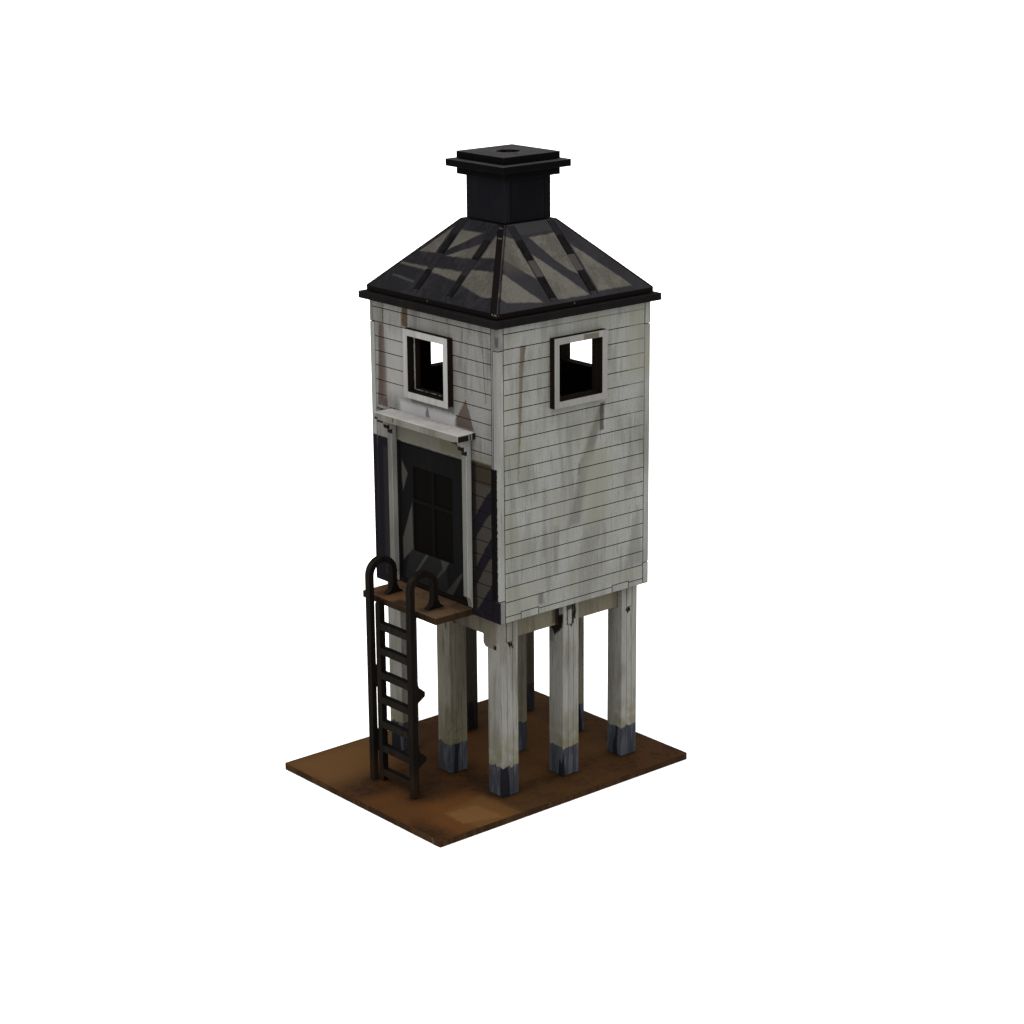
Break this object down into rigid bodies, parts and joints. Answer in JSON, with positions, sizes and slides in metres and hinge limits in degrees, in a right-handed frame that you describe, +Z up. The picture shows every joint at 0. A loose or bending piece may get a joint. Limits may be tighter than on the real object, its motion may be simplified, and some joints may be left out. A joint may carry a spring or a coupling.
{
  "type": "model lighthouse on legs",
  "caption": "Tabletop model of a boarded harbour light cabin on legs, with a pyramid roof, stepped cap, landing and hooped ladder, on a thin base plate.",
  "frame": {"origin": "middle of the base plate's underside", "axes": "+Z up; -Y is the front, with the door, landing and ladder; +X is to the right of someone who faces the front from outside"},
  "size_m": [0.0738, 0.0952, 0.1817],
  "materials": {
    "base_paint": "matt mottled tan and brown paint on fibreboard",
    "leg_paint": "matt light grey paint, grimy, blue-grey at the foot",
    "beam_paint": "matt grimy off-white paint",
    "floor_board": "matt painted fibreboard",
    "wall_paint": "matt weathered off-white paint with etched boards and dark camouflage bands",
    "frame_paint": "matt off-white paint, edges charred brown",
    "door_paint": "matt dark camouflage paint",
    "post_paint": "matt off-white paint",
    "canopy_paint": "matt off-white paint, edges charred brown",
    "landing_paint": "bare weathered brown fibreboard",
    "ladder_paint": "matt black-brown paint, dusty",
    "rail_paint": "matt black paint worn to brown",
    "eaves_paint": "matt black paint",
    "roof_paint": "matt grey-beige paint with dark blue-grey dazzle stripes",
    "stack_paint": "matt blue-black paint",
    "cap_paint": "matt blue-black paint"
  },
  "bodies": {
    "root": {"base_plate": "base_paint", "leg_front_left": "leg_paint", "leg_front_centre": "leg_paint", "leg_front_right": "leg_paint", "leg_middle_left": "leg_paint", "leg_middle_centre": "leg_paint", "leg_middle_right": "leg_paint", "leg_rear_left": "leg_paint", "leg_rear_centre": "leg_paint", "leg_rear_right": "leg_paint", "beam_across_front": "beam_paint", "beam_across_middle": "beam_paint", "beam_across_rear": "beam_paint", "beam_along_left": "beam_paint", "beam_along_centre": "beam_paint", "beam_along_right": "beam_paint", "cabin_floor": "floor_board", "wall_front": "wall_paint", "wall_right": "wall_paint", "wall_rear": "wall_paint", "wall_left": "wall_paint", "window_frame_front": "frame_paint", "window_frame_right": "frame_paint", "window_frame_rear": "frame_paint", "window_frame_left": "frame_paint", "door_leaf": "door_paint", "door_post_left": "post_paint", "door_post_right": "post_paint", "door_canopy": "canopy_paint", "landing": "landing_paint", "ladder": "ladder_paint", "ladder_rail_left": "rail_paint", "ladder_rail_right": "rail_paint", "eaves_plate": "eaves_paint", "roof_front": "roof_paint", "roof_right": "roof_paint", "roof_rear": "roof_paint", "roof_left": "roof_paint", "stack_front": "stack_paint", "stack_right": "stack_paint", "stack_rear": "stack_paint", "stack_left": "stack_paint", "cap_lower": "cap_paint", "cap_middle": "cap_paint", "cap_upper": "cap_paint"}
  },
  "joints": []
}
